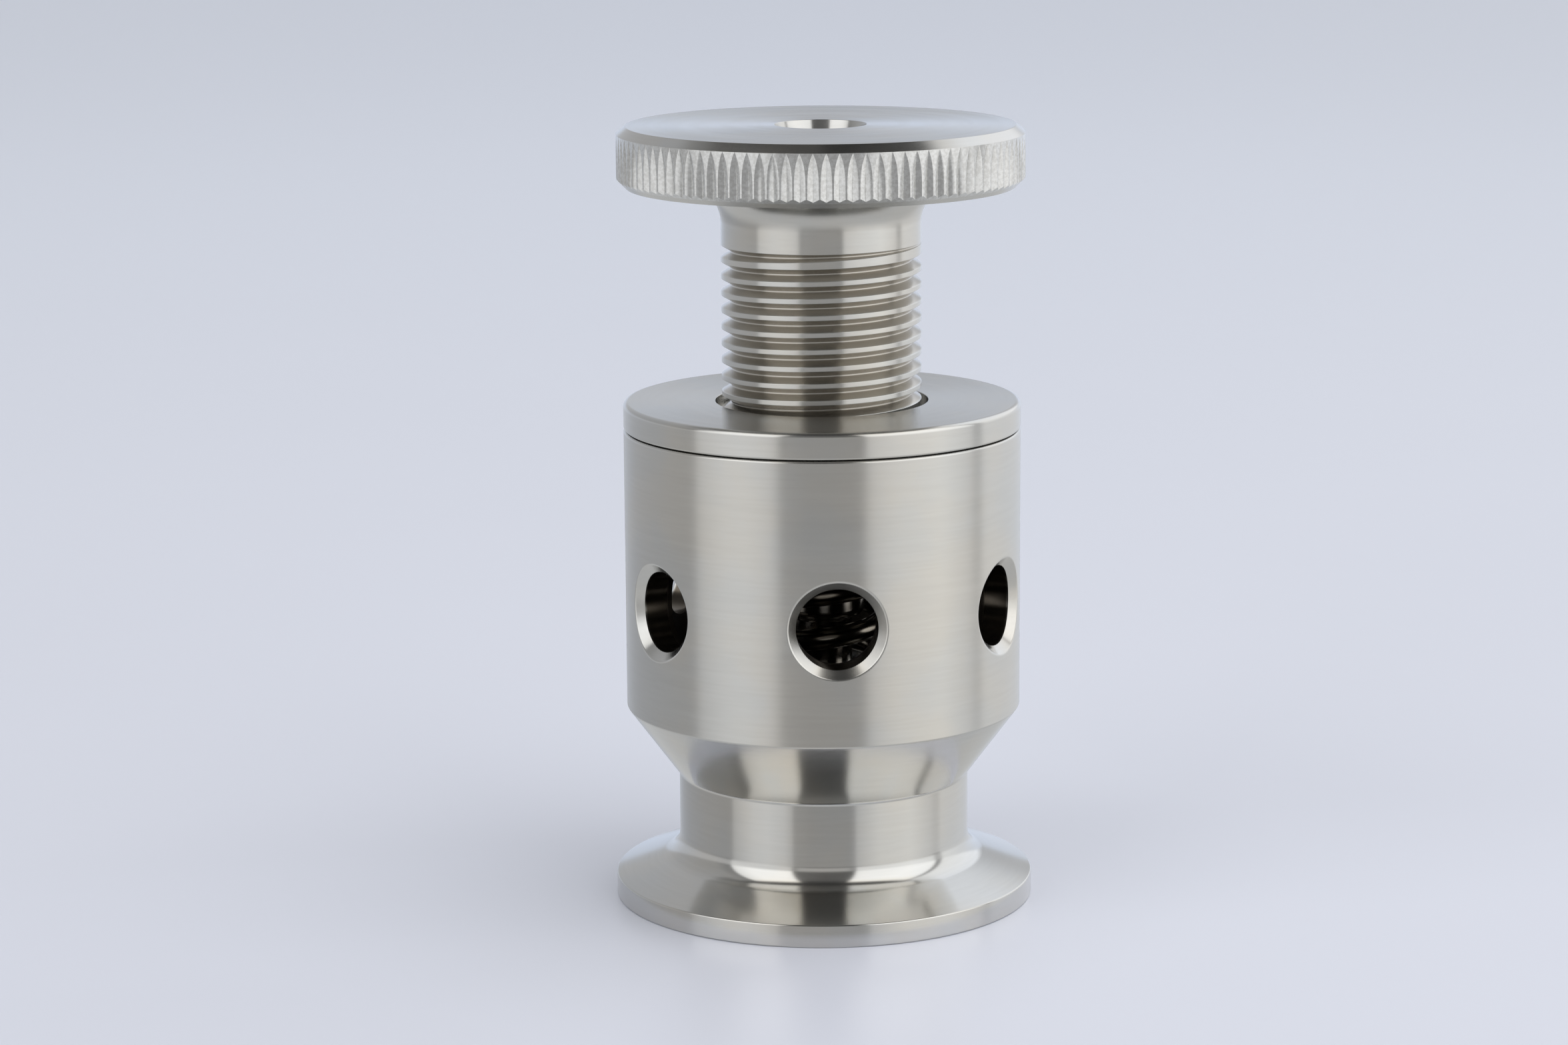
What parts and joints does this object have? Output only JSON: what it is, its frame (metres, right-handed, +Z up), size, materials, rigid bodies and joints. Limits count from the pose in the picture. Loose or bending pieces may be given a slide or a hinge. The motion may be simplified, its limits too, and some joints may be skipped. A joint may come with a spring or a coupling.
{
  "type": "pressure relief valve",
  "caption": "Adjustable sanitary pressure relief valve on a clamp ferrule, with a vented body and a knurled handwheel.",
  "frame": {"origin": "centre of the ferrule's sealing face", "axes": "+Z up the valve's axis, from the ferrule to the handwheel; one vent faces -Y"},
  "size_m": [0.0505, 0.0504, 0.0935],
  "materials": {
    "turned_steel": "satin turned stainless steel",
    "spring_steel": "drawn stainless wire",
    "seal_rubber": "matt silicone"
  },
  "bodies": {
    "housing": {"body": "turned_steel", "cap": "turned_steel"},
    "carrier": {"thrust_washer": "turned_steel"},
    "handwheel": {"adjusting_screw": "turned_steel"},
    "poppet": {"spring": "spring_steel", "stem": "turned_steel", "valve_disc": "turned_steel", "seal_ring": "seal_rubber", "seal_retainer": "turned_steel", "lock_washer": "spring_steel", "retaining_nut": "turned_steel"}
  },
  "joints": [
    {"name": "setting_travel", "type": "slide", "parent": "housing", "child": "carrier", "axis": [0, 0, 1], "range_m": [-0.018, 0.004], "deforming": ["spring"]},
    {"name": "handwheel_turn", "type": "hinge", "parent": "carrier", "child": "handwheel", "pos_m": [0, 0, 0.0935], "axis": [0, 0, 1], "range_deg": [-3240, 720]},
    {"name": "poppet_lift", "type": "slide", "parent": "housing", "child": "poppet", "axis": [0, 0, 1], "range_m": [0, 0.003], "stiffness_N_per_m": 15500, "springref_m": -0.0015, "deforming": ["spring"]}
  ],
  "couplings": [
    {"joint": "setting_travel", "follows": "handwheel_turn", "m_per_rad": 0.00031831}
  ]
}
